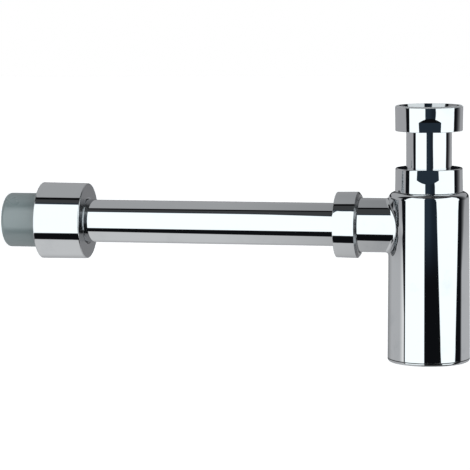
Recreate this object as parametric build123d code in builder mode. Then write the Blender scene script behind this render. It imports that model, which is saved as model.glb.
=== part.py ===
"""Chromed bottle trap for a wash basin, in millimetres, +Z up, outlet towards -X.

The origin is on the inlet axis, at the lower end of the inlet thread. The bottle hangs below it on
its tail pipe. Screw threads are left as plain cylinders here: a male one has its root radius, a
female one its root radius too, and the ridges lie in the space between the two.
"""

import os
from math import cos, radians, sin, tan

from build123d import *

os.makedirs("parts", exist_ok=True)

# Tubes
TAIL_D = 33.4
TAIL_WALL = 1.2
PIPE_D = 32.0
PIPE_WALL = 1.0

# Clearances on the radius, and between faces that don't touch
SEAL_CLEARANCE = 0.05
RING_CLEARANCE = 0.25
PASS_CLEARANCE = 0.35
SEAT_CLEARANCE = 0.15
THREAD_CLEARANCE = 0.30
FACE_CLEARANCE = 0.30

# Screw threads
THREAD_DEPTH = 1.15
THREAD_LEAD = 0.6

# Compression joints: each is measured outwards from the end face of its male part
SEAT_DEPTH = 5.0
SEAT_WIDTH = 1.7
SEAL_NOSE = 1.0
SEAL_HEAD = 0.6
SEAL_PROUD = 1.6
RING_T = 1.2
LIP_T = 3.2
NUT_LENGTH = 17.4
NUT_DRAFT = 0.85
FLATS_SPAN = 46.7
FLATS_LENGTH = 7.2
FLATS_RUNOUT = 2.1
FLATS_OVERCUT = 4.0

# Degrees to which each nut is turned: where its two spanner flats lie
INLET_FLATS_AT = (-81.0, 99.0)
CAP_FLATS_AT = (-84.6, 95.4)
OUTLET_FLATS_AT = (-81.3, 98.7)

# Inlet: nut, washer and the flange of the tail
INLET_BORE = 42.0
INLET_NUT_WALL = 3.9
INLET_THREAD = 7.0
INLET_LEAD = 3.0
INLET_LEAD_WIDTH = 1.0
INLET_RIM_CHAMFER = 1.0
INLET_RELIEF = 0.5
INLET_RELIEF_DEPTH = 0.6
WASHER_T = 3.0
WASHER_D = 38.4
FLANGE_T = 2.0
FLANGE_D = 38.4
INLET_LIP_T = 3.0
TAIL_SHOWN = 27.25
DIP_GAP = 12.0

# Bottle
NECK_WALL = 4.0
CAP_NUT_WALL = 3.5
CAP_NUT_EDGE = 0.8
BOTTLE_BORE = 53.2
BOTTLE_WALL = 2.8
BOTTLE_DRAFT = 0.47
BOTTLE_HEIGHT = 123.0
SHOULDER_T = 3.2
SHOULDER_R = 4.4
CEILING_R = 2.4
SEAM_CHAMFER = 0.25

# Screwed base
BASE_RIM = 2.35
BASE_FLOOR = 4.0
BASE_EDGE_R = 1.8
BASE_SKIRT = 10.5
BASE_SKIRT_WALL = 2.9
O_RING_SECTION = 2.4
O_RING_CLEARANCE = 0.10
COIN_SLOT_LENGTH = 26.0
COIN_SLOT_WIDTH = 3.0
COIN_SLOT_DEPTH = 1.8

# Outlet spigot and its nut
OUTLET_DROP = 25.3
OUTLET_REACH = 62.4
SPIGOT_WALL = 3.7
SPIGOT_THREAD = 10.6
SADDLE_R = 1.8
OUTLET_NUT_WALL = 4.2
OUTLET_BEVEL_LENGTH = 1.5
OUTLET_BEVEL_WIDTH = 1.8
OUTLET_NUT_EDGE = 0.6

# Outlet pipe
PIPE_INSERT = 22.4
PIPE_SHOWN = 191.1
PIPE_SOCKET = 17.0
PIPE_END_ROOM = 4.5

# Wall nut and adaptor
ADAPTOR_WALL = 7.8
WALL_NUT_WALL = 4.35
WALL_NUT_LENGTH = 35.6
WALL_NUT_DRAFT = 0.6
WALL_LIP_T = 3.7
WALL_NUT_EDGE = 1.0
WALL_FACE_EDGE = 0.7
WALL_HOLE_EDGE = 1.6
STOP_FLANGE_T = 4.0
STOP_FLANGE_W = 1.3
STOP_FLANGE_INSET = 0.8
ADAPTOR_D = 40.9
ADAPTOR_SHOWN = 28.2
ADAPTOR_TIP_FLAT = 0.55
WATERWAY_D = 28.0
SOCKET_D = 32.1
SOCKET_DEPTH = 20.0

# Radii that follow from the tubes and the walls
tail_r = TAIL_D / 2
pipe_r = PIPE_D / 2
neck_bore = tail_r + PASS_CLEARANCE
neck_crest = neck_bore + NECK_WALL
neck_root = neck_crest - THREAD_DEPTH
cap_bore = neck_crest + THREAD_CLEARANCE
spigot_bore = pipe_r + PASS_CLEARANCE
spigot_r = spigot_bore + SPIGOT_WALL
spigot_root = spigot_r - THREAD_DEPTH
outlet_bore = spigot_r + THREAD_CLEARANCE
adaptor_crest = spigot_bore + ADAPTOR_WALL
adaptor_root = adaptor_crest - THREAD_DEPTH
wall_bore = adaptor_crest + THREAD_CLEARANCE
stop_r = wall_bore + STOP_FLANGE_W - THREAD_CLEARANCE
bottle_bore = BOTTLE_BORE / 2
bottle_top_r = bottle_bore + BOTTLE_WALL
bottle_base_r = bottle_top_r + BOTTLE_HEIGHT * tan(radians(BOTTLE_DRAFT))
skirt_crest = bottle_bore - THREAD_CLEARANCE
skirt_root = skirt_crest - THREAD_DEPTH
o_ring_r = skirt_root + O_RING_CLEARANCE + O_RING_SECTION / 2
gland_r = o_ring_r + O_RING_SECTION / 2 + O_RING_CLEARANCE
gland_h = O_RING_SECTION + 2 * O_RING_CLEARANCE

# Heights, from the inlet downwards
inlet_top = INLET_THREAD + INLET_LEAD
washer_top = -INLET_RELIEF
flange_top = washer_top - WASHER_T
lip_top = flange_top - FLANGE_T
inlet_bottom = lip_top - INLET_LIP_T
cap_top = inlet_bottom - TAIL_SHOWN
neck_top = cap_top - LIP_T - RING_T - SEAL_PROUD
shoulder_z = cap_top - NUT_LENGTH - FACE_CLEARANCE
outlet_z = shoulder_z - OUTLET_DROP
seam_z = shoulder_z - BOTTLE_HEIGHT
base_z = seam_z - BASE_RIM
floor_z = base_z + BASE_FLOOR
dip_z = floor_z + DIP_GAP

# Distances along the outlet, from the bottle's axis
spigot_end = -OUTLET_REACH
joint_height = SEAL_PROUD + RING_T
wall_end = spigot_end - joint_height - LIP_T - PIPE_SHOWN - WALL_LIP_T - joint_height
pipe_inner = spigot_end + PIPE_INSERT
pipe_outer = wall_end - PIPE_SOCKET

# Section planes: local x is the radius, local y runs outwards along the joint's axis
cap_plane = Plane(origin=(0, 0, neck_top), x_dir=(1, 0, 0), z_dir=(0, -1, 0))
outlet_plane = Plane(origin=(spigot_end, 0, outlet_z), x_dir=(0, 0, 1), z_dir=(0, -1, 0))
wall_plane = Plane(origin=(wall_end, 0, outlet_z), x_dir=(0, 0, 1), z_dir=(0, 1, 0))
cap_axis = Axis(cap_plane.origin, cap_plane.y_dir)
outlet_axis = Axis(outlet_plane.origin, outlet_plane.y_dir)
wall_axis = Axis(wall_plane.origin, wall_plane.y_dir)


def nut_section(tube_r, bore, wall):
    """Half section of a compression nut, from the edge of its lip round the inside to its mouth."""
    hole = tube_r + PASS_CLEARANCE
    face = joint_height + LIP_T
    mouth = face - NUT_LENGTH
    rim = bore + wall
    shoulder = rim - NUT_LENGTH * tan(radians(NUT_DRAFT))
    return [
        (shoulder, face),
        (hole, face),
        (hole, joint_height),
        (bore, joint_height),
        (bore, mouth + THREAD_LEAD),
        (bore + THREAD_LEAD, mouth),
        (rim, mouth),
    ]


def seal_section(tube_r, bore):
    """Half section of a cone seal: its nose lies in the seat and its head on the end face."""
    inside = tube_r + SEAL_CLEARANCE
    tip = SEAL_NOSE - SEAT_DEPTH
    slope = SEAT_WIDTH / SEAT_DEPTH
    return [
        (inside, tip),
        (bore + slope * SEAL_NOSE - SEAT_CLEARANCE, tip),
        (bore + SEAT_WIDTH - SEAT_CLEARANCE, 0),
        (bore + SEAT_WIDTH + SEAL_HEAD, 0),
        (bore + SEAT_WIDTH + SEAL_HEAD, SEAL_PROUD),
        (inside, SEAL_PROUD),
    ]


def ring_section(tube_r, bore):
    """Half section of a slip ring between a seal's head and the lip of its nut."""
    inside = tube_r + RING_CLEARANCE
    outside = bore - RING_CLEARANCE
    return [
        (inside, SEAL_PROUD),
        (outside, SEAL_PROUD),
        (outside, joint_height),
        (inside, joint_height),
    ]


def flat_section(face, inwards):
    """Side view of the cut for one spanner flat, from the lip's face to its sloped run-out."""
    flat = FLATS_SPAN / 2
    end = face + inwards * FLATS_LENGTH
    return [
        (flat, face - inwards * FLATS_OVERCUT),
        (flat, end),
        (flat + FLATS_OVERCUT, end + inwards * FLATS_OVERCUT * FLATS_RUNOUT),
        (flat + FLATS_OVERCUT, face - inwards * FLATS_OVERCUT),
    ]


# Inlet nut: clamps the tail's flange against the basin waste
inlet_r = INLET_BORE / 2
inlet_rim = inlet_r + INLET_NUT_WALL
inlet_foot = inlet_rim - (inlet_top - inlet_bottom) * tan(radians(NUT_DRAFT))
tail_hole = tail_r + PASS_CLEARANCE
with BuildPart() as inlet_nut:
    with BuildSketch(Plane.XZ) as inlet_half:
        with BuildLine():
            Polyline(
                (inlet_rim, inlet_top),
                (inlet_r + INLET_LEAD_WIDTH, inlet_top),
                (inlet_r, INLET_THREAD),
                (inlet_r, 0),
                (inlet_r + INLET_RELIEF_DEPTH, -INLET_RELIEF),
                (inlet_r + INLET_RELIEF_DEPTH, lip_top),
                (tail_hole, lip_top),
                (tail_hole, inlet_bottom),
                (inlet_foot, inlet_bottom),
                close=True,
            )
        make_face()
        chamfer(
            inlet_half.vertices().sort_by_distance((inlet_rim, inlet_top))[:1],
            length=INLET_RIM_CHAMFER,
        )
        fillet(
            inlet_half.vertices().sort_by_distance((inlet_foot, inlet_bottom))[:1],
            radius=SEAM_CHAMFER,
        )
    revolve(axis=Axis.Z)
    for turn in INLET_FLATS_AT:
        aside = (cos(radians(turn)), sin(radians(turn)), 0)
        across = (aside[1], -aside[0], 0)
        with BuildSketch(Plane(origin=(0, 0, 0), x_dir=aside, z_dir=across)):
            with BuildLine():
                Polyline(*flat_section(inlet_bottom, 1), close=True)
            make_face()
        extrude(amount=FLATS_SPAN / 2, both=True, mode=Mode.SUBTRACT)
inlet_nut.part.label = "inlet_nut"
export_step(inlet_nut.part, "parts/inlet_nut.step")

# Inlet washer: flat rubber ring between the flange and the basin waste
with BuildPart() as inlet_washer:
    with BuildSketch(Plane.XY.offset(flange_top)):
        Circle(WASHER_D / 2)
        Circle(tail_r - TAIL_WALL, mode=Mode.SUBTRACT)
    extrude(amount=WASHER_T)
inlet_washer.part.label = "inlet_washer"
export_step(inlet_washer.part, "parts/inlet_washer.step")

# Tail pipe: flanged tube that telescopes in the neck and ends as the dip tube
with BuildPart() as tail_pipe:
    with BuildSketch(Plane.XZ):
        with BuildLine():
            Polyline(
                (tail_r - TAIL_WALL, dip_z),
                (tail_r, dip_z),
                (tail_r, lip_top),
                (FLANGE_D / 2, lip_top),
                (FLANGE_D / 2, flange_top),
                (tail_r - TAIL_WALL, flange_top),
                close=True,
            )
        make_face()
    revolve(axis=Axis.Z)
tail_pipe.part.label = "tail_pipe"
export_step(tail_pipe.part, "parts/tail_pipe.step")

# Bottle body: one moulding with its neck, its shoulder and its side spigot
spigot_plane = Plane(origin=(0, 0, outlet_z), x_dir=(0, 1, 0), z_dir=(-1, 0, 0))
with BuildPart() as bottle_body:
    with BuildSketch(Plane.XZ) as bottle_half:
        with BuildLine():
            Polyline(
                (0, seam_z),
                (bottle_base_r, seam_z),
                (bottle_top_r, shoulder_z),
                (neck_root, shoulder_z),
                (neck_root, neck_top),
                (0, neck_top),
                close=True,
            )
        make_face()
        fillet(
            bottle_half.vertices().sort_by_distance((bottle_top_r, shoulder_z))[:1],
            radius=SHOULDER_R,
        )
        chamfer(
            bottle_half.vertices().sort_by_distance((bottle_base_r, seam_z))[:1],
            length=SEAM_CHAMFER,
        )
    revolve(axis=Axis.Z)
    with BuildSketch(spigot_plane):
        Circle(spigot_r)
    extrude(amount=OUTLET_REACH - SPIGOT_THREAD)
    saddle = bottle_body.edges(Select.LAST).filter_by(GeomType.CIRCLE, reverse=True)
    fillet(saddle.filter_by(GeomType.LINE, reverse=True), radius=SADDLE_R)
    with BuildSketch(spigot_plane.offset(OUTLET_REACH - SPIGOT_THREAD)):
        Circle(spigot_root)
    extrude(amount=SPIGOT_THREAD)
    with BuildSketch(Plane.XZ) as chamber_half:
        with BuildLine():
            Polyline(
                (0, seam_z),
                (gland_r, seam_z),
                (gland_r, seam_z + gland_h),
                (bottle_bore, seam_z + gland_h),
                (bottle_bore, shoulder_z - SHOULDER_T),
                (neck_bore, shoulder_z - SHOULDER_T),
                (neck_bore, neck_top - SEAT_DEPTH),
                (neck_bore + SEAT_WIDTH, neck_top),
                (0, neck_top),
                close=True,
            )
        make_face()
        fillet(
            chamber_half.vertices().sort_by_distance(
                (bottle_bore, shoulder_z - SHOULDER_T)
            )[:1],
            radius=CEILING_R,
        )
    revolve(axis=Axis.Z, mode=Mode.SUBTRACT)
    with BuildSketch(outlet_plane):
        with BuildLine():
            Polyline(
                (0, 0),
                (spigot_bore + SEAT_WIDTH, 0),
                (spigot_bore, -SEAT_DEPTH),
                (spigot_bore, -OUTLET_REACH + tail_r),
                (0, -OUTLET_REACH + tail_r),
                close=True,
            )
        make_face()
    revolve(axis=outlet_axis, mode=Mode.SUBTRACT)
bottle_body.part.label = "bottle_body"
export_step(bottle_body.part, "parts/bottle_body.step")

# Cap nut joint: seal, slip ring and nut round the tail
with BuildPart() as cap_seal:
    with BuildSketch(cap_plane):
        with BuildLine():
            Polyline(*seal_section(tail_r, neck_bore), close=True)
        make_face()
    revolve(axis=cap_axis)
cap_seal.part.label = "cap_seal"
export_step(cap_seal.part, "parts/cap_seal.step")

with BuildPart() as cap_slip_ring:
    with BuildSketch(cap_plane):
        with BuildLine():
            Polyline(*ring_section(tail_r, cap_bore), close=True)
        make_face()
    revolve(axis=cap_axis)
cap_slip_ring.part.label = "cap_slip_ring"
export_step(cap_slip_ring.part, "parts/cap_slip_ring.step")

with BuildPart() as cap_nut:
    with BuildSketch(cap_plane) as cap_half:
        section = nut_section(tail_r, cap_bore, CAP_NUT_WALL)
        with BuildLine():
            Polyline(*section, close=True)
        make_face()
        fillet(cap_half.vertices().sort_by_distance(section[0])[:1], radius=CAP_NUT_EDGE)
        fillet(cap_half.vertices().sort_by_distance(section[-1])[:1], radius=SEAM_CHAMFER)
    revolve(axis=cap_axis)
    for turn in CAP_FLATS_AT:
        aside = (cos(radians(turn)), sin(radians(turn)), 0)
        across = (aside[1], -aside[0], 0)
        with BuildSketch(Plane(origin=cap_plane.origin, x_dir=aside, z_dir=across)):
            with BuildLine():
                Polyline(*flat_section(section[0][1], -1), close=True)
            make_face()
        extrude(amount=FLATS_SPAN / 2, both=True, mode=Mode.SUBTRACT)
cap_nut.part.label = "cap_nut"
export_step(cap_nut.part, "parts/cap_nut.step")

# Base: screwed cap with a coin slot, and its rubber ring
with BuildPart() as base_cap:
    with BuildSketch(Plane.XZ) as base_half:
        with BuildLine():
            Polyline(
                (0, base_z),
                (bottle_base_r, base_z),
                (bottle_base_r, seam_z),
                (skirt_root, seam_z),
                (skirt_root, seam_z + BASE_SKIRT),
                (skirt_root - BASE_SKIRT_WALL, seam_z + BASE_SKIRT),
                (skirt_root - BASE_SKIRT_WALL, floor_z),
                (0, floor_z),
                close=True,
            )
        make_face()
        fillet(
            base_half.vertices().sort_by_distance((bottle_base_r, base_z))[:1],
            radius=BASE_EDGE_R,
        )
        chamfer(
            base_half.vertices().sort_by_distance((bottle_base_r, seam_z))[:1],
            length=SEAM_CHAMFER,
        )
    revolve(axis=Axis.Z)
    with BuildSketch(Plane.XY.offset(base_z)):
        SlotOverall(COIN_SLOT_LENGTH, COIN_SLOT_WIDTH)
    extrude(amount=COIN_SLOT_DEPTH, mode=Mode.SUBTRACT)
base_cap.part.label = "base_cap"
export_step(base_cap.part, "parts/base_cap.step")

with BuildPart() as base_o_ring:
    with BuildSketch(Plane.XZ):
        with Locations((o_ring_r, seam_z + gland_h / 2)):
            Circle(O_RING_SECTION / 2)
    revolve(axis=Axis.Z)
base_o_ring.part.label = "base_o_ring"
export_step(base_o_ring.part, "parts/base_o_ring.step")

# Outlet nut joint: seal, slip ring and nut round the outlet pipe at the spigot
with BuildPart() as outlet_seal:
    with BuildSketch(outlet_plane):
        with BuildLine():
            Polyline(*seal_section(pipe_r, spigot_bore), close=True)
        make_face()
    revolve(axis=outlet_axis)
outlet_seal.part.label = "outlet_seal"
export_step(outlet_seal.part, "parts/outlet_seal.step")

with BuildPart() as outlet_slip_ring:
    with BuildSketch(outlet_plane):
        with BuildLine():
            Polyline(*ring_section(pipe_r, outlet_bore), close=True)
        make_face()
    revolve(axis=outlet_axis)
outlet_slip_ring.part.label = "outlet_slip_ring"
export_step(outlet_slip_ring.part, "parts/outlet_slip_ring.step")

with BuildPart() as outlet_nut:
    with BuildSketch(outlet_plane) as outlet_half:
        section = nut_section(pipe_r, outlet_bore, OUTLET_NUT_WALL)
        rim, mouth = section.pop()
        section.append((rim - OUTLET_BEVEL_WIDTH, mouth))
        section.append((rim, mouth + OUTLET_BEVEL_LENGTH))
        with BuildLine():
            Polyline(*section, close=True)
        make_face()
        fillet(outlet_half.vertices().sort_by_distance(section[0])[:1], radius=OUTLET_NUT_EDGE)
    revolve(axis=outlet_axis)
    for turn in OUTLET_FLATS_AT:
        aside = (0, sin(radians(turn)), cos(radians(turn)))
        across = (0, -aside[2], aside[1])
        with BuildSketch(Plane(origin=outlet_plane.origin, x_dir=aside, z_dir=across)):
            with BuildLine():
                Polyline(*flat_section(section[0][1], -1), close=True)
            make_face()
        extrude(amount=FLATS_SPAN / 2, both=True, mode=Mode.SUBTRACT)
outlet_nut.part.label = "outlet_nut"
export_step(outlet_nut.part, "parts/outlet_nut.step")

# Outlet pipe: plain tube from inside the spigot to inside the adaptor
with BuildPart() as outlet_pipe:
    with BuildSketch(spigot_plane.offset(-pipe_inner)):
        Circle(pipe_r)
        Circle(pipe_r - PIPE_WALL, mode=Mode.SUBTRACT)
    extrude(amount=pipe_inner - pipe_outer)
outlet_pipe.part.label = "outlet_pipe"
export_step(outlet_pipe.part, "parts/outlet_pipe.step")

# Wall adaptor: threaded head with a stop flange, and a plain end for the waste pipe
wall_face = joint_height + WALL_LIP_T
wall_mouth = wall_face - WALL_NUT_LENGTH
stop_outer = wall_mouth + STOP_FLANGE_INSET
stop_inner = stop_outer + STOP_FLANGE_T
adaptor_tip = wall_mouth - ADAPTOR_SHOWN
adaptor_edge_r = (ADAPTOR_D - SOCKET_D) / 2 - ADAPTOR_TIP_FLAT
pipe_stop = -PIPE_SOCKET - PIPE_END_ROOM
with BuildPart() as wall_adaptor:
    with BuildSketch(wall_plane) as adaptor_half:
        with BuildLine():
            Polyline(
                (spigot_bore + SEAT_WIDTH, 0),
                (adaptor_root, 0),
                (adaptor_root, stop_inner),
                (stop_r, stop_inner),
                (stop_r, stop_outer),
                (ADAPTOR_D / 2, stop_outer),
                (ADAPTOR_D / 2, adaptor_tip),
                (SOCKET_D / 2, adaptor_tip),
                (SOCKET_D / 2, adaptor_tip + SOCKET_DEPTH),
                (WATERWAY_D / 2, adaptor_tip + SOCKET_DEPTH),
                (WATERWAY_D / 2, pipe_stop),
                (spigot_bore, pipe_stop),
                (spigot_bore, -SEAT_DEPTH),
                close=True,
            )
        make_face()
        fillet(
            adaptor_half.vertices().sort_by_distance((ADAPTOR_D / 2, adaptor_tip))[:1],
            radius=adaptor_edge_r,
        )
    revolve(axis=wall_axis)
wall_adaptor.part.label = "wall_adaptor"
export_step(wall_adaptor.part, "parts/wall_adaptor.step")

# Wall nut joint: seal, slip ring and the long nut that covers the adaptor's head
with BuildPart() as wall_seal:
    with BuildSketch(wall_plane):
        with BuildLine():
            Polyline(*seal_section(pipe_r, spigot_bore), close=True)
        make_face()
    revolve(axis=wall_axis)
wall_seal.part.label = "wall_seal"
export_step(wall_seal.part, "parts/wall_seal.step")

with BuildPart() as wall_slip_ring:
    with BuildSketch(wall_plane):
        with BuildLine():
            Polyline(*ring_section(pipe_r, wall_bore), close=True)
        make_face()
    revolve(axis=wall_axis)
wall_slip_ring.part.label = "wall_slip_ring"
export_step(wall_slip_ring.part, "parts/wall_slip_ring.step")

wall_hole = pipe_r + PASS_CLEARANCE
wall_rim = wall_bore + WALL_NUT_WALL
wall_crown = wall_rim - WALL_NUT_LENGTH * tan(radians(WALL_NUT_DRAFT))
wall_counterbore = wall_bore + STOP_FLANGE_W
with BuildPart() as wall_nut:
    with BuildSketch(wall_plane) as wall_half:
        with BuildLine():
            Polyline(
                (wall_hole, joint_height),
                (wall_bore, joint_height),
                (wall_bore, stop_inner + FACE_CLEARANCE),
                (wall_counterbore, stop_inner + FACE_CLEARANCE),
                (wall_counterbore, wall_mouth),
                (wall_rim, wall_mouth),
                (wall_crown, wall_face),
                (wall_hole, wall_face),
                close=True,
            )
        make_face()
        fillet(
            wall_half.vertices().sort_by_distance((wall_rim, wall_mouth))[:1],
            radius=WALL_NUT_EDGE,
        )
        fillet(
            wall_half.vertices().sort_by_distance((wall_crown, wall_face))[:1],
            radius=WALL_FACE_EDGE,
        )
        fillet(
            wall_half.vertices().sort_by_distance((wall_hole, wall_face))[:1],
            radius=WALL_HOLE_EDGE,
        )
    revolve(axis=wall_axis)
wall_nut.part.label = "wall_nut"
export_step(wall_nut.part, "parts/wall_nut.step")
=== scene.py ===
import math

import bmesh
import bpy
from mathutils import Euler, Matrix, Vector


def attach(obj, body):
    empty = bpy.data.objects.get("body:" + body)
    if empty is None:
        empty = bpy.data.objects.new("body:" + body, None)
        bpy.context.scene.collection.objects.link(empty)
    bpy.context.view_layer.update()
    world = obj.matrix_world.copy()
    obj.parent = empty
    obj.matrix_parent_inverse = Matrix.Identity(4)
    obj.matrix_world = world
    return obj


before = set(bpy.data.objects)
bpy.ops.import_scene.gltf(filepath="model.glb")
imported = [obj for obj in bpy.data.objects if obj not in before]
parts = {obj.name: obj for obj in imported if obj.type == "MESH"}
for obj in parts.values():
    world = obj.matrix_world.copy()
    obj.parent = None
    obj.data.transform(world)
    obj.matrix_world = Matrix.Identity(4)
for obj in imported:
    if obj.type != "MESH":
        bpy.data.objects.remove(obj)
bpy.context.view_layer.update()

# Tail pipe: a drawn brass tube with a rolled flange, polished along its length and chromed.
# It hangs from the basin waste by its flange and runs down inside the bottle as the dip tube.
tail_centre = (0.0, 0.0, 0.0)
upright = (0.0, 0.0, 1.0)
tube_bright = (0.885, 0.905, 0.92, 1.0)
tube_film = (0.80, 0.825, 0.845, 1.0)
tube_plating = {"Size": 28.0, "Gloss": 0.016, "Dullness": 0.045, "Bright": tube_bright, "Filmed": tube_film}
tube_bore = (0.50, 0.47, 0.40, 1.0)
tube_bore_dullness = 0.32
polish_across = 900.0
polish_along = 4.5


def add_node(tree, kind, inputs=None, **settings):
    made = tree.nodes.new(kind)
    for key, value in settings.items():
        setattr(made, key, value)
    for socket, value in (inputs or {}).items():
        if isinstance(value, bpy.types.NodeSocket):
            tree.links.new(value, made.inputs[socket])
        else:
            made.inputs[socket].default_value = value
    return made


def vector_sums(tree, operation, *terms):
    made = add_node(tree, "ShaderNodeVectorMath", dict(enumerate(terms)), operation=operation)
    return made.outputs["Value"] if operation in ("DOT_PRODUCT", "LENGTH") else made.outputs["Vector"]


def object_place(tree):
    return add_node(tree, "ShaderNodeTexCoord").outputs["Object"]


def cloudy(tree, place, size, detail, ragged=0.5, swirl=0.0):
    made = add_node(
        tree,
        "ShaderNodeTexNoise",
        {"Vector": place, "Scale": size, "Detail": detail, "Roughness": ragged, "Distortion": swirl},
    )
    return made.outputs["Fac"]


def graded(tree, value, low, high, at_low=0.0, at_high=1.0, curve="LINEAR"):
    """Goes from at_low to at_high while the value goes from low to high."""
    made = add_node(
        tree,
        "ShaderNodeMapRange",
        {"Value": value, "From Min": low, "From Max": high, "To Min": at_low, "To Max": at_high},
        interpolation_type=curve,
    )
    return made.outputs["Result"]


def mix_colour(tree, mask, below, above):
    return add_node(tree, "ShaderNodeMix", {0: mask, 6: below, 7: above}, data_type="RGBA").outputs[2]


def mix_value(tree, mask, below, above):
    return add_node(tree, "ShaderNodeMix", {0: mask, 2: below, 3: above}, data_type="FLOAT").outputs[0]


def bumped(tree, height, strength, depth):
    made = add_node(tree, "ShaderNodeBump", {"Height": height, "Strength": strength, "Distance": depth})
    return made.outputs["Normal"]


def from_axis(tree, place, centre, axis):
    """The arm from an axis out to a point, square to that axis."""
    arm = vector_sums(tree, "SUBTRACT", place, centre)
    return vector_sums(tree, "SUBTRACT", arm, vector_sums(tree, "PROJECT", arm, axis))


def start_group(name, inputs, outputs):
    group = bpy.data.node_groups.new(name, "ShaderNodeTree")
    for label, kind, value in inputs:
        socket = group.interface.new_socket(label, in_out="INPUT", socket_type=kind)
        socket.default_value = value
    for label, kind in outputs:
        group.interface.new_socket(label, in_out="OUTPUT", socket_type=kind)
    return group, group.nodes.new("NodeGroupInput"), group.nodes.new("NodeGroupOutput")


# Handling film: the broad, barely dull patches that wiping and fingers leave on bright plating
film_group, film_in, film_out = start_group(
    "handling_film",
    [
        ("Size", "NodeSocketFloat", tube_plating["Size"]),
        ("Gloss", "NodeSocketFloat", tube_plating["Gloss"]),
        ("Dullness", "NodeSocketFloat", tube_plating["Dullness"]),
        ("Bright", "NodeSocketColor", tube_bright),
        ("Filmed", "NodeSocketColor", tube_film),
    ],
    [("Color", "NodeSocketColor"), ("Roughness", "NodeSocketFloat")],
)
film_patches = cloudy(
    film_group, object_place(film_group), size=film_in.outputs["Size"], detail=5.0, ragged=0.6
)
film_mask = graded(film_group, film_patches, low=0.52, high=0.78, curve="SMOOTHSTEP")
film_colour = mix_colour(film_group, film_mask, film_in.outputs["Bright"], film_in.outputs["Filmed"])
film_rough = mix_value(film_group, film_mask, film_in.outputs["Gloss"], film_in.outputs["Dullness"])
film_group.links.new(film_colour, film_out.inputs["Color"])
film_group.links.new(film_rough, film_out.inputs["Roughness"])

# Bore mask: 1 on walls that face their own axis, where plating and polish reach less
bore_group, bore_in, bore_out = start_group(
    "bore_mask",
    [("Centre", "NodeSocketVector", tail_centre), ("Axis", "NodeSocketVector", upright)],
    [("Mask", "NodeSocketFloat")],
)
bore_place = add_node(bore_group, "ShaderNodeTexCoord")
bore_arm = from_axis(
    bore_group, bore_place.outputs["Object"], bore_in.outputs["Centre"], bore_in.outputs["Axis"]
)
bore_outward = vector_sums(bore_group, "NORMALIZE", bore_arm)
bore_facing = vector_sums(bore_group, "DOT_PRODUCT", bore_outward, bore_place.outputs["Normal"])
bore_group.links.new(graded(bore_group, bore_facing, low=-0.25, high=-0.45), bore_out.inputs["Mask"])


def plain_material(name):
    material = bpy.data.materials.new(name)
    material.use_nodes = True
    tree = material.node_tree
    return material, tree, tree.nodes["Principled BSDF"]


def chrome_plate(name, centre, axis, plating, inside, inside_dullness):
    """Bright plating with a handling film, and a duller bore round the given axis."""
    material, tree, shader = plain_material(name)
    shader.inputs["Metallic"].default_value = 1.0
    film = add_node(tree, "ShaderNodeGroup", plating, node_tree=film_group)
    bore = add_node(tree, "ShaderNodeGroup", {"Centre": centre, "Axis": axis}, node_tree=bore_group)
    colour = mix_colour(tree, bore.outputs["Mask"], film.outputs["Color"], inside)
    rough = mix_value(tree, bore.outputs["Mask"], film.outputs["Roughness"], inside_dullness)
    tree.links.new(colour, shader.inputs["Base Color"])
    tree.links.new(rough, shader.inputs["Roughness"])
    return material, tree, shader


def chromed_tube(name, centre, axis):
    material, tree, shader = chrome_plate(name, centre, axis, tube_plating, tube_bore, tube_bore_dullness)
    stretch = [polish_across + (polish_along - polish_across) * abs(part) for part in axis]
    stretched = vector_sums(tree, "MULTIPLY", object_place(tree), stretch)
    lines = cloudy(tree, stretched, size=1.0, detail=2.0)
    tree.links.new(bumped(tree, lines, strength=0.03, depth=0.00002), shader.inputs["Normal"])
    return material


def dress(node_name, material):
    for held in parts[node_name].material_slots:
        held.material = material


dress("tail_pipe", chromed_tube("tail_chrome", tail_centre, upright))

# Inlet washer: a flat ring cut from black rubber sheet.
# It lies on the tail's flange and is squeezed against the basin waste.
rubber_black = (0.018, 0.018, 0.019, 1.0)
rubber_bloom = (0.060, 0.060, 0.062, 1.0)
sheet_grain = 1800.0


def rubber(name, grain):
    material, tree, shader = plain_material(name)
    shader.inputs["Specular IOR Level"].default_value = 0.35
    place = object_place(tree)
    bloom = cloudy(tree, place, size=120.0, detail=6.0)
    skin = cloudy(tree, place, size=grain, detail=3.0)
    rough = graded(tree, bloom, low=0.0, high=1.0, at_low=0.52, at_high=0.78)
    tree.links.new(mix_colour(tree, bloom, rubber_black, rubber_bloom), shader.inputs["Base Color"])
    tree.links.new(rough, shader.inputs["Roughness"])
    tree.links.new(bumped(tree, skin, strength=0.25, depth=0.0001), shader.inputs["Normal"])
    return material


dress("inlet_washer", rubber("washer_rubber", sheet_grain))

# Inlet nut: moulded in hard plastic, copper and chrome plated, with two spanner flats at its lip.
# Its thread takes the basin waste and its lip draws the tail's flange up to the washer.
sideways = (1.0, 0.0, 0.0)
shell_bright = (0.88, 0.90, 0.915, 1.0)
shell_film = (0.79, 0.815, 0.835, 1.0)
shell_plating = {"Size": 36.0, "Gloss": 0.018, "Dullness": 0.05, "Bright": shell_bright, "Filmed": shell_film}
nut_wave = 0.02
mouth_bright = (0.58, 0.59, 0.60, 1.0)
mouth_dullness = 0.06
rim_satin = (0.93, 0.94, 0.95, 1.0)


def chromed_shell(name, centre, axis, wave, inside, inside_dullness):
    """Plating over a moulding, which keeps the slow waves of the plastic under it."""
    material, tree, shader = chrome_plate(name, centre, axis, shell_plating, inside, inside_dullness)
    swell = cloudy(tree, object_place(tree), size=55.0, detail=1.0)
    tree.links.new(bumped(tree, swell, strength=wave, depth=0.0002), shader.inputs["Normal"])
    return material


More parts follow.
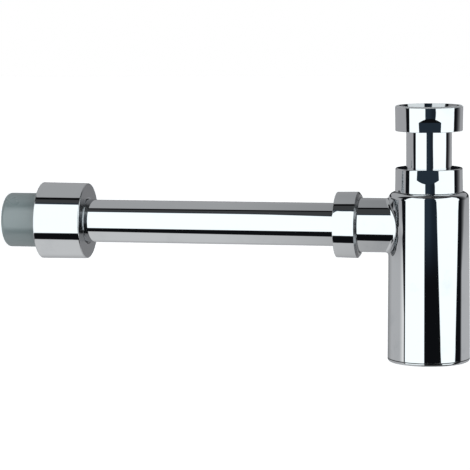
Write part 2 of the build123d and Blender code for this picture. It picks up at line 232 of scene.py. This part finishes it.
def lay_over(material, mask, colour, dullness):
    """Changes a finish where the mask says so."""
    tree = material.node_tree
    shader = tree.nodes["Principled BSDF"]
    colour_below = shader.inputs["Base Color"].links[0].from_socket
    rough_below = shader.inputs["Roughness"].links[0].from_socket
    tree.links.new(mix_colour(tree, mask, colour_below, colour), shader.inputs["Base Color"])
    tree.links.new(mix_value(tree, mask, rough_below, dullness), shader.inputs["Roughness"])


def sums(tree, operation, *terms):
    return add_node(tree, "ShaderNodeMath", dict(enumerate(terms)), operation=operation).outputs[0]


# Turned face: the satin that a lathe-turned mould leaves on a nut's end, in faint rings round its axis; on
# the outlet nut's bevel it marks painted shade
turned_rings_per_metre = 5200.0
turned_group, turned_in, turned_out = start_group(
    "turned_face",
    [
        ("Centre", "NodeSocketVector", tail_centre),
        ("Axis", "NodeSocketVector", upright),
        ("Begins", "NodeSocketFloat", 0.93),
        ("Full", "NodeSocketFloat", 0.985),
    ],
    [("Mask", "NodeSocketFloat"), ("Height", "NodeSocketFloat")],
)
turned_place = add_node(turned_group, "ShaderNodeTexCoord")
turned_axis = turned_in.outputs["Axis"]
turned_slope = vector_sums(turned_group, "DOT_PRODUCT", turned_place.outputs["Normal"], turned_axis)
turned_mask = graded(turned_group, turned_slope, turned_in.outputs["Begins"], turned_in.outputs["Full"])
turned_arm = from_axis(
    turned_group, turned_place.outputs["Object"], turned_in.outputs["Centre"], turned_axis
)
turned_radius = vector_sums(turned_group, "LENGTH", turned_arm)
turned_rings = add_node(
    turned_group,
    "ShaderNodeTexNoise",
    {"W": sums(turned_group, "MULTIPLY", turned_radius, turned_rings_per_metre), "Scale": 1.0, "Detail": 2.0},
    noise_dimensions="1D",
)
turned_height = sums(turned_group, "MULTIPLY", turned_rings.outputs["Fac"], turned_mask)
turned_group.links.new(turned_mask, turned_out.inputs["Mask"])
turned_group.links.new(turned_height, turned_out.inputs["Height"])


# Lays the given colour and dullness where the face mask is; at the outlet nut's mouth that colour is painted
# shade
def turn_face(material, centre, axis, begins, full, satin, dullness):
    tree = material.node_tree
    normal = tree.nodes["Principled BSDF"].inputs["Normal"]
    face = add_node(
        tree,
        "ShaderNodeGroup",
        {"Centre": centre, "Axis": axis, "Begins": begins, "Full": full},
        node_tree=turned_group,
    )
    lay_over(material, face.outputs["Mask"], satin, dullness)
    rings = add_node(
        tree,
        "ShaderNodeBump",
        {"Height": face.outputs["Height"], "Normal": normal.links[0].from_socket},
    )
    rings.inputs["Strength"].default_value = 0.15
    rings.inputs["Distance"].default_value = 0.00004
    tree.links.new(rings.outputs["Normal"], normal)


thread_pitch = 0.002309
ridge_base_half = 0.00052
ridge_crest_half = 0.00019
ridge_steps = 56
ridge_run_out = 0.22
ridge_run_out_height = 0.02
ridge_sunk = 0.06
ridge_rounding = 0.18
ridge_shoulder_half = ridge_crest_half * 1.35
ridge_flat_half = ridge_crest_half * 0.6
sharp_from = math.radians(40)


def add_piece(name, shape, material, body):
    """Makes a smooth piece of a shape, and sets it on the body that carries it."""
    bmesh.ops.recalc_face_normals(shape, faces=shape.faces)
    data = bpy.data.meshes.new(name)
    shape.to_mesh(data)
    shape.free()
    data.polygons.foreach_set("use_smooth", [True] * len(data.polygons))
    data.set_sharp_from_angle(angle=sharp_from)
    data.materials.append(material)
    piece = bpy.data.objects.new(name, data)
    bpy.context.scene.collection.objects.link(piece)
    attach(piece, body)


def thread_ridge(name, material, body, origin, across, along, foot, crest, begin, end, phase):
    """The ridge of a parallel pipe thread, turn by turn, faded out at both ends."""
    origin = Vector(origin)
    across = Vector(across)
    along = Vector(along)
    beside = along.cross(across)
    height = crest - foot
    seat = foot - height * ridge_sunk
    turns = (end - begin) / thread_pitch
    shape = bmesh.new()
    rings = []
    for step in range(int(ridge_steps * turns) + 1):
        turn = step / ridge_steps
        fade = min(1.0, min(turn, turns - turn) / ridge_run_out)
        top = foot + height * max(fade, ridge_run_out_height)
        rounded = top - (top - foot) * ridge_rounding
        angle = 2.0 * math.pi * (turn + begin / thread_pitch + phase)
        outward = across * math.cos(angle) + beside * math.sin(angle)
        middle = origin + along * (begin + turn * thread_pitch)
        profile = (
            (seat, -ridge_base_half),
            (rounded, -ridge_shoulder_half),
            (top, -ridge_flat_half),
            (top, ridge_flat_half),
            (rounded, ridge_shoulder_half),
            (seat, ridge_base_half),
        )
        rings.append([shape.verts.new(middle + outward * r + along * w) for r, w in profile])
    for ring, after in zip(rings, rings[1:]):
        for corner in range(len(ring)):
            following = (corner + 1) % len(ring)
            shape.faces.new((ring[corner], ring[following], after[following], after[corner]))
    shape.faces.new(rings[0])
    shape.faces.new(list(reversed(rings[-1])))
    add_piece(name, shape, material, body)


inlet_chrome = chromed_shell("inlet_nut_chrome", tail_centre, upright, nut_wave, mouth_bright, mouth_dullness)
turn_face(inlet_chrome, tail_centre, upright, begins=0.55, full=0.68, satin=rim_satin, dullness=0.55)
dress("inlet_nut", inlet_chrome)
thread_ridge(
    "inlet_nut_thread", inlet_chrome, "inlet_nut",
    origin=tail_centre, across=sideways, along=upright,
    foot=0.0210, crest=0.01955, begin=0.0009, end=0.0064, phase=0.0,
)

# Bottle: one plated plastic moulding with a threaded neck and a side spigot, blended in by a saddle.
# The tail dips into the water that stands in it, which keeps the drain's air out.
toward_back = (0.0, 1.0, 0.0)
toward_wall = (-1.0, 0.0, 0.0)
neck_top = (0.0, 0.0, -0.04175)
outlet_height = -0.07875
spigot_end = (-0.0624, 0.0, outlet_height)
foot_level = -0.17645
foot_centre = (0.0, 0.0, foot_level)
bottle_wave = 0.012
thread_grey = (0.46, 0.47, 0.48, 1.0)
thread_dullness = 0.24
# Joint colour: painted shade of the gap at a screwed joint, with the dust in it
joint_shade_and_dust = (0.060, 0.061, 0.064, 1.0)
joint_dullness = 0.45
bottle_chrome = chromed_shell(
    "bottle_chrome", tail_centre, upright, bottle_wave, thread_grey, thread_dullness
)

# Joint line: the fine dark line where two screwed pieces meet, painted shade of their gap with wax and dust
# settled in it
joint_group, joint_in, joint_out = start_group(
    "joint_shade_line",
    [
        ("Level", "NodeSocketFloat", foot_level),
        ("Edge", "NodeSocketFloat", 0.0005),
        ("Core", "NodeSocketFloat", 0.0003),
    ],
    [("Mask", "NodeSocketFloat")],
)
joint_axes = add_node(joint_group, "ShaderNodeSeparateXYZ", {0: object_place(joint_group)})
joint_apart = sums(joint_group, "SUBTRACT", joint_axes.outputs["Z"], joint_in.outputs["Level"])
joint_shade_mask = graded(
    joint_group,
    sums(joint_group, "ABSOLUTE", joint_apart),
    low=joint_in.outputs["Edge"],
    high=joint_in.outputs["Core"],
)
joint_group.links.new(joint_shade_mask, joint_out.inputs["Mask"])


# Paints the shade and dust of a joint's gap in a band round the given level
def paint_joint_shade_and_dust(material, level, edge, core):
    values = {"Level": level, "Edge": edge, "Core": core}
    line = add_node(material.node_tree, "ShaderNodeGroup", values, node_tree=joint_group)
    lay_over(material, line.outputs["Mask"], joint_shade_and_dust, joint_dullness)


# Painted shade and dust in the joint with the base
paint_joint_shade_and_dust(bottle_chrome, foot_level, edge=0.00050, core=0.00030)
dress("bottle_body", bottle_chrome)

# Saddle: the moulded fillet round the spigot's root, a ball's path rolled along spigot and bottle
shoulder_height = -0.05345
bottle_top_radius = 0.0294
bottle_draft = math.radians(0.47)
spigot_radius = 0.02005
saddle_radius_high = 0.0023
saddle_radius_beside = 0.0036
saddle_root = 0.0004
saddle_rounds = 240
saddle_bands = 14
spigot_level = Vector((0.0, 0.0, outlet_height))
saddle_shape = bmesh.new()
saddle_rings = []
for step in range(saddle_rounds):
    angle = 2.0 * math.pi * step / saddle_rounds
    outward = Vector((0.0, math.cos(angle), math.sin(angle)))
    saddle_radius = saddle_radius_high + (saddle_radius_beside - saddle_radius_high) * outward.y ** 2
    ball = outward * (spigot_radius + saddle_radius) + spigot_level
    bottle_radius = bottle_top_radius + math.tan(bottle_draft) * (shoulder_height - ball.z)
    ball.x = -math.sqrt((bottle_radius + saddle_radius) ** 2 - ball.y ** 2)
    to_bottle = -Vector((ball.x, ball.y, 0.0)).normalized()
    sweep = (-outward).rotation_difference(to_bottle)
    ring = []
    for band in range(saddle_bands + 1):
        part_way = Matrix.Rotation(sweep.angle * band / saddle_bands, 3, sweep.axis)
        ring.append(saddle_shape.verts.new(ball + part_way @ -outward * saddle_radius))
    root = outward * (spigot_radius - saddle_root) + spigot_level
    root.x = -math.sqrt((bottle_radius - saddle_root) ** 2 - root.y ** 2)
    ring.append(saddle_shape.verts.new(root))
    saddle_rings.append(ring)
for step, ring in enumerate(saddle_rings):
    after = saddle_rings[(step + 1) % saddle_rounds]
    for band in range(len(ring)):
        after_band = (band + 1) % len(ring)
        saddle_shape.faces.new((ring[band], after[band], after[after_band], ring[after_band]))
add_piece("outlet_saddle", saddle_shape, bottle_chrome, "bottle")
thread_ridge(
    "neck_thread", bottle_chrome, "bottle",
    origin=neck_top, across=sideways, along=upright,
    foot=0.0199, crest=0.02100, begin=-0.0108, end=-0.0008, phase=0.0,
)
thread_ridge(
    "spigot_thread", bottle_chrome, "bottle",
    origin=spigot_end, across=toward_back, along=toward_wall,
    foot=0.0189, crest=0.02000, begin=-0.0098, end=-0.0008, phase=0.0,
)
thread_ridge(
    "foot_thread", bottle_chrome, "bottle",
    origin=foot_centre, across=sideways, along=upright,
    foot=0.0266, crest=0.02550, begin=0.0034, end=0.0098, phase=0.5,
)

# Cap joint: a rubber cone seal, a slick white plastic ring and the plated nut that presses them on the tail.
# The nut screws on the bottle's neck, and the ring lets it turn without twisting the rubber.
seal_grain = 2200.0
ring_white = (0.80, 0.81, 0.79, 1.0)
ring_shade = (0.68, 0.69, 0.66, 1.0)


def slick_ring(name):
    material, tree, shader = plain_material(name)
    shader.inputs["Subsurface Weight"].default_value = 0.08
    shader.inputs["Subsurface Radius"].default_value = (0.002, 0.002, 0.002)
    clouds = cloudy(tree, object_place(tree), size=210.0, detail=3.0)
    rough = graded(tree, clouds, low=0.0, high=1.0, at_low=0.28, at_high=0.46)
    tree.links.new(mix_colour(tree, clouds, ring_white, ring_shade), shader.inputs["Base Color"])
    tree.links.new(rough, shader.inputs["Roughness"])
    return material


dress("cap_seal", rubber("cap_seal_rubber", seal_grain))
slick_white = slick_ring("slip_ring_white")
dress("cap_slip_ring", slick_white)
cap_chrome = chromed_shell("cap_nut_chrome", tail_centre, upright, nut_wave, thread_grey, thread_dullness)
dress("cap_nut", cap_chrome)
thread_ridge(
    "cap_nut_thread", cap_chrome, "cap_nut",
    origin=neck_top, across=sideways, along=upright,
    foot=0.02135, crest=0.02025, begin=-0.0102, end=-0.0014, phase=0.5,
)

# Base: a plated plastic cup with a coin slot underneath, screwed in and sealed by a rubber ring.
# It comes off to clean out what has settled in the bottle.
o_ring_grain = 2600.0
dress("base_o_ring", rubber("base_ring_rubber", o_ring_grain))
base_chrome = chromed_shell("base_chrome", tail_centre, upright, bottle_wave, thread_grey, thread_dullness)
# Painted shade and dust in the joint with the bottle
paint_joint_shade_and_dust(base_chrome, foot_level, edge=0.00032, core=0.00018)
dress("base_cap", base_chrome)
thread_ridge(
    "base_thread", base_chrome, "base_cap",
    origin=foot_centre, across=sideways, along=upright,
    foot=0.02515, crest=0.02622, begin=0.0034, end=0.0098, phase=0.0,
)

# Outlet joint: the same seal, ring and plated nut, turned on its side round the outlet pipe.
# The nut screws on the bottle's spigot and has a wider bevel at its mouth, next to the bottle, darkened by
# painted shade of the gap round the spigot.
# Bevel colour: painted shade of the gap between the nut's mouth and the spigot, on a duller finish
bevel_painted_shade = (0.31, 0.315, 0.325, 1.0)
dress("outlet_seal", rubber("outlet_seal_rubber", seal_grain))
dress("outlet_slip_ring", slick_white)
outlet_chrome = chromed_shell(
    "outlet_nut_chrome", spigot_end, sideways, nut_wave, thread_grey, thread_dullness
)
# The outlet nut's mouth bevel takes the painted shade colour in place of a turned satin
turn_face(outlet_chrome, spigot_end, sideways, begins=0.55, full=0.70, satin=bevel_painted_shade, dullness=0.19)
dress("outlet_nut", outlet_chrome)
thread_ridge(
    "outlet_nut_thread", outlet_chrome, "outlet_nut",
    origin=spigot_end, across=toward_back, along=toward_wall,
    foot=0.02035, crest=0.01925, begin=-0.0100, end=-0.0014, phase=0.5,
)

# Outlet pipe: a plain drawn brass tube, chromed, cut to suit the distance to the wall.
# Its two ends slide in the seals of the joints beside it, and their nuts hold it.
dress("outlet_pipe", chromed_tube("outlet_pipe_chrome", spigot_end, sideways))

# Wall adaptor: moulded in grey waste-pipe plastic, with a threaded head and a plain end.
# The end pushes into the waste pipe in the wall, or takes a smaller one in its socket.
wall_end = (-0.266, 0.0, outlet_height)
pvc_grey = (0.255, 0.305, 0.310, 1.0)
pvc_pale = (0.285, 0.336, 0.342, 1.0)


def moulded_pvc(name):
    material, tree, shader = plain_material(name)
    shader.inputs["Specular IOR Level"].default_value = 1.0
    shader.inputs["IOR"].default_value = 1.63
    place = object_place(tree)
    flow = cloudy(tree, place, size=45.0, detail=4.0, swirl=0.6)
    grain = cloudy(tree, place, size=2400.0, detail=2.0)
    rough = graded(tree, flow, low=0.0, high=1.0, at_low=0.24, at_high=0.34)
    tree.links.new(mix_colour(tree, flow, pvc_grey, pvc_pale), shader.inputs["Base Color"])
    tree.links.new(rough, shader.inputs["Roughness"])
    tree.links.new(bumped(tree, grain, strength=0.12, depth=0.00006), shader.inputs["Normal"])
    return material


adaptor_pvc = moulded_pvc("adaptor_pvc")
dress("wall_adaptor", adaptor_pvc)
thread_ridge(
    "adaptor_thread", adaptor_pvc, "wall_adaptor",
    origin=wall_end, across=toward_back, along=sideways,
    foot=0.0230, crest=0.02410, begin=-0.0232, end=-0.0010, phase=0.0,
)

# Wall joint: seal, slip ring and the long plated nut that hides the adaptor's head and screws on it.
# The nut's end face keeps the satin of its lathe-turned mould, with faint rings round the pipe's hole.
face_satin = (0.36, 0.368, 0.38, 1.0)
dress("wall_seal", rubber("wall_seal_rubber", seal_grain))
dress("wall_slip_ring", slick_white)
wall_chrome = chromed_shell("wall_nut_chrome", wall_end, sideways, bottle_wave, thread_grey, thread_dullness)
turn_face(wall_chrome, wall_end, sideways, begins=0.93, full=0.985, satin=face_satin, dullness=0.24)
dress("wall_nut", wall_chrome)
thread_ridge(
    "wall_nut_thread", wall_chrome, "wall_nut",
    origin=wall_end, across=toward_back, along=sideways,
    foot=0.02445, crest=0.02335, begin=-0.0225, end=-0.0016, phase=0.5,
)

# Studio: two large soft boxes with black edges, left and right of the camera, in a pale room.
# The room is a world far off, which the chrome reflects, and the camera sees white behind the trap.
# The floor is a pale painted sheet, 25 cm below the hanging trap.
room_group, room_in, room_out = start_group(
    "studio_room",
    [("Direction", "NodeSocketVector", (0.0, -1.0, 0.0))],
    [("Light", "NodeSocketColor")],
)


def room(operation, *terms):
    return sums(room_group, operation, *terms)


# Turn is the angle round from the front, and lift the angle above level.
# Tilt is the angle round the level pipe, and aside how far a direction leans to the wall end.
degrees = 180.0 / math.pi
room_heading = -7.4
lean_lowest = -10.5
lean_highest = -4.6
aside_furthest = -0.275
room_axes = add_node(room_group, "ShaderNodeSeparateXYZ", {0: room_in.outputs["Direction"]})
room_front = room("MULTIPLY", room_axes.outputs["Y"], -1.0)
room_turn = room("MULTIPLY_ADD", room("ARCTAN2", room_axes.outputs["X"], room_front), degrees, room_heading)
room_lift = room("MULTIPLY", room("ARCSINE", room_axes.outputs["Z"]), degrees)
room_lean = room("MINIMUM", room("MAXIMUM", room_lift, lean_lowest), lean_highest)
room_aside = room("MINIMUM", room("MAXIMUM", room_axes.outputs["X"], aside_furthest), 0.0)
room_depth = room("SQRT", room("SUBTRACT", 1.0, room("MULTIPLY", room_aside, room_aside)))
room_slant = room("DIVIDE", room_axes.outputs["Z"], room_depth)
room_tilt = room("MULTIPLY", room("ARCSINE", room_slant), degrees)


def past(value, limit, soft):
    """0 below the limit and 1 above it, with a soft edge."""
    return graded(room_group, room("SUBTRACT", value, limit), -soft, soft, curve="SMOOTHSTEP")


def between(value, low, high, soft):
    return room("MAXIMUM", room("SUBTRACT", past(value, low, soft), past(value, high, soft)), 0.0)


def rising(value, low, high):
    """0 at the low end and 1 at the high end, in a straight line."""
    return graded(room_group, value, low, high)


def leaning(at_five, slope):
    """A limit in degrees that leans with height, as the soft boxes do, from five degrees down."""
    return room("MULTIPLY_ADD", room_lean, slope, at_five + 5.0 * slope)


def blend(mask, below, above):
    return mix_colour(room_group, mask, below, above)


# Soft boxes: two lit panels, a little lower at the bottle's end
box_white = (1.09, 1.16, 1.18, 1.0)
box_top_far = 55.5
box_top_drop = 7.5
box_top_step = past(room_aside, limit=-0.1825, soft=0.0275)
box_top = room("MULTIPLY_ADD", box_top_step, -box_top_drop, box_top_far)
right_box_begin = leaning(at_five=21.6, slope=-3.3)
right_box_end = leaning(at_five=94.2, slope=3.9)
left_box = between(room_turn, low=-70.1, high=-12.9, soft=0.8)
right_box = between(room_turn, low=right_box_begin, high=right_box_end, soft=0.8)
box_width = room("ADD", left_box, right_box)
box_height = between(room_tilt, low=-33.0, high=box_top, soft=1.2)
boxes = room("MULTIPLY", box_width, box_height)

# Black frames: the boxes' own edges, dark panels above them on both sides, and a dark shelf behind
frame_top_far = 79.5
frame_top_rise = 6.0
frame_foot_far = -54.0
frame_foot_drop = 10.0
frame_left_least = -74.2
frame_slope = rising(room_aside, low=aside_furthest, high=-0.155)
frame_top = room("MULTIPLY_ADD", frame_slope, frame_top_rise, frame_top_far)
frame_foot = room("MULTIPLY_ADD", frame_slope, -frame_foot_drop, frame_foot_far)
frame_left = room("MINIMUM", leaning(at_five=-85.2, slope=-3.7), frame_left_least)
frame_right = leaning(at_five=104.0, slope=1.6)
frame_width = between(room_turn, low=frame_left, high=frame_right, soft=1.0)
frame_height = between(room_tilt, low=frame_foot, high=frame_top, soft=1.0)
frame_front = room("MULTIPLY", frame_width, frame_height)
turned_away = room("ABSOLUTE", room_turn)
side_width = between(turned_away, low=55.0, high=112.0, soft=6.0)
side_height = between(room_lift, low=25.0, high=63.0, soft=4.0)
shelf_width = past(turned_away, limit=140.0, soft=8.0)
shelf_height = between(room_lift, low=2.0, high=11.0, soft=1.5)
dark_sides = room("MULTIPLY", side_width, side_height)
dark_shelf = room("MULTIPLY", shelf_width, shelf_height)
frames = room("MAXIMUM", frame_front, room("MAXIMUM", dark_sides, dark_shelf))

# Pale room: ceiling, walls and ground, dimmer at the bottle's end, with a light strip low on the left
ceiling_far = (0.36, 0.365, 0.372, 1.0)
ceiling_near = (0.255, 0.258, 0.266, 1.0)
ground_far = (0.56, 0.565, 0.57, 1.0)
ground_near = (0.385, 0.388, 0.392, 1.0)
wall_grey = (0.36, 0.36, 0.372, 1.0)
low_grey = (0.44, 0.445, 0.455, 1.0)
corner_grey = (0.22, 0.223, 0.228, 1.0)
strip_white = (0.80, 0.805, 0.80, 1.0)
shade_black = (0.006, 0.007, 0.009, 1.0)
shade_width_level = 78.0
shade_widening = 10.0
shade_narrowest = 7.0
shade_curve = 1.8
bottle_end = rising(room_aside, low=-0.215, high=-0.150)
pale_ceiling = blend(bottle_end, ceiling_far, ceiling_near)
pale_ground = blend(bottle_end, ground_far, ground_near)
pale_high = blend(past(room_lift, limit=20.0, soft=40.0), wall_grey, pale_ceiling)
pale_room = blend(past(room_lift, limit=-40.0, soft=22.0), pale_ground, pale_high)
low_part = between(room_lift, low=-16.0, high=-6.3, soft=0.9)
pale_low = blend(low_part, pale_room, low_grey)
far_left = room("MULTIPLY", low_part, rising(room_turn, low=-128.0, high=-165.0))
pale_left = blend(far_left, pale_low, corner_grey)
by_left_box = room("MULTIPLY", low_part, between(room_turn, low=-83.0, high=0.0, soft=9.0))
pale_strip = blend(by_left_box, pale_left, strip_white)
shade_width = room("MULTIPLY_ADD", room_lean, shade_widening, shade_width_level)
shade_span = room("MAXIMUM", shade_width, shade_narrowest)
shade_rise = rising(room_turn, low=frame_right, high=room("ADD", frame_right, shade_span))
shade_fade = room("SUBTRACT", 1.0, room("POWER", shade_rise, shade_curve))
shade_side = room("MULTIPLY", past(room_turn, limit=90.0, soft=5.0), frame_height)
pale_sides = blend(room("MULTIPLY", shade_side, shade_fade), pale_strip, shade_black)

# Gap between the boxes: blue-black above, black below, with a grey band over the boxes
gap_blue = (0.019, 0.030, 0.043, 1.0)
gap_dim = (0.012, 0.018, 0.026, 1.0)
gap_black = (0.0045, 0.005, 0.006, 1.0)
frame_black = (0.005, 0.0055, 0.007, 1.0)
band_grey = (0.046, 0.048, 0.050, 1.0)
line_black = (0.004, 0.004, 0.005, 1.0)
gap_high = blend(past(room_turn, limit=6.0, soft=8.0), gap_blue, gap_dim)
gap_low = blend(past(room_lift, limit=-6.3, soft=0.8), gap_black, gap_high)
gap_dark = blend(between(room_turn, low=-40.0, high=45.0, soft=5.0), frame_black, gap_low)
above_box = room("SUBTRACT", room_tilt, box_top)
under_top = room("SUBTRACT", room_tilt, frame_top)
frame_band = blend(past(above_box, limit=4.5, soft=1.0), gap_dark, band_grey)
frame_line = blend(past(under_top, limit=-8.0, soft=1.0), frame_band, line_black)
framed_room = blend(frames, pale_sides, frame_line)
room_group.links.new(blend(boxes, framed_room, box_white), room_out.inputs["Light"])

# Fill light: the room lights plastic and rubber more than the chrome shows, to bring up their colours
fill_light = 0.45
studio = bpy.data.worlds.new("studio")
bpy.context.scene.world = studio
studio.use_nodes = True
studio_tree = studio.node_tree
studio_tree.nodes.clear()
studio_place = add_node(studio_tree, "ShaderNodeTexCoord")
studio_room = add_node(
    studio_tree,
    "ShaderNodeGroup",
    {"Direction": studio_place.outputs["Generated"]},
    node_tree=room_group,
)
studio_path = add_node(studio_tree, "ShaderNodeLightPath")
seen_in_chrome = studio_path.outputs["Is Glossy Ray"]
studio_level = sums(studio_tree, "MULTIPLY_ADD", seen_in_chrome, -fill_light, 1.0 + fill_light)
studio_light = add_node(
    studio_tree,
    "ShaderNodeBackground",
    {"Color": studio_room.outputs["Light"], "Strength": studio_level},
)
studio_white = add_node(studio_tree, "ShaderNodeBackground", {"Color": (1.0, 1.0, 1.0, 1.0)})
studio_mix = add_node(
    studio_tree,
    "ShaderNodeMixShader",
    {0: studio_path.outputs["Is Camera Ray"], 1: studio_light.outputs[0], 2: studio_white.outputs[0]},
)
add_node(studio_tree, "ShaderNodeOutputWorld", {"Surface": studio_mix.outputs[0]})

# Floor paint: matt and pale, lit up to white for the camera, and clear from below
floor_pale = (0.86, 0.86, 0.86, 1.0)
floor_paler = (0.90, 0.90, 0.90, 1.0)
floor_reach = 6.0
floor_back = 9.0
floor_level = -0.43
floor_glow_level = 0.60
floor_corners = [
    (-floor_reach, -floor_reach, 0.0),
    (floor_reach, -floor_reach, 0.0),
    (floor_reach, floor_back, 0.0),
    (-floor_reach, floor_back, 0.0),
]
floor_mesh = bpy.data.meshes.new("floor")
floor_mesh.from_pydata(floor_corners, [], [(0, 1, 2, 3)])
floor = bpy.data.objects.new("floor", floor_mesh)
bpy.context.scene.collection.objects.link(floor)
floor.location = (0.0, 0.0, floor_level)
floor.visible_glossy = False
floor_paint, floor_tree, floor_shader = plain_material("floor_paint")
floor_tone = cloudy(floor_tree, object_place(floor_tree), size=3.0, detail=2.0)
floor_colour = mix_colour(floor_tree, floor_tone, floor_pale, floor_paler)
floor_tree.links.new(floor_colour, floor_shader.inputs["Base Color"])
floor_shader.inputs["Roughness"].default_value = 0.9
floor_shader.inputs["Emission Color"].default_value = (1.0, 1.0, 1.0, 1.0)
floor_path = add_node(floor_tree, "ShaderNodeLightPath")
floor_glow = sums(floor_tree, "MULTIPLY", floor_path.outputs["Is Camera Ray"], floor_glow_level)
floor_tree.links.new(floor_glow, floor_shader.inputs["Emission Strength"])
floor_side = add_node(floor_tree, "ShaderNodeNewGeometry")
floor_clear = add_node(floor_tree, "ShaderNodeBsdfTransparent")
floor_seen = add_node(
    floor_tree,
    "ShaderNodeMixShader",
    {0: floor_side.outputs["Backfacing"], 1: floor_shader.outputs[0], 2: floor_clear.outputs[0]},
)
floor_tree.links.new(floor_seen.outputs[0], floor_tree.nodes["Material Output"].inputs["Surface"])
floor_mesh.materials.append(floor_paint)

# Camera: a long lens a little above the trap and to the right of square on.
# It stands 1.7 m away, so that the level pipe hardly narrows towards the wall.
look_down = math.radians(6.94)
look_left = math.radians(12.21)
roll = math.radians(-0.50)
lens = bpy.data.cameras.new("camera")
lens.lens = 178.54
lens.sensor_fit = "HORIZONTAL"
lens.sensor_width = 36.0
lens.shift_y = 0.0188
lens.clip_start = 0.05
lens.clip_end = 60.0
camera = bpy.data.objects.new("camera", lens)
bpy.context.scene.collection.objects.link(camera)
aim = Euler((math.radians(90.0) - look_down, 0.0, look_left)).to_matrix()
camera.rotation_mode = "QUATERNION"
camera.rotation_quaternion = (aim @ Matrix.Rotation(roll, 3, "Z")).to_quaternion()
camera.location = (0.22064, -1.69424, 0.1165)
bpy.context.scene.camera = camera
bpy.context.scene.view_settings.view_transform = "Standard"
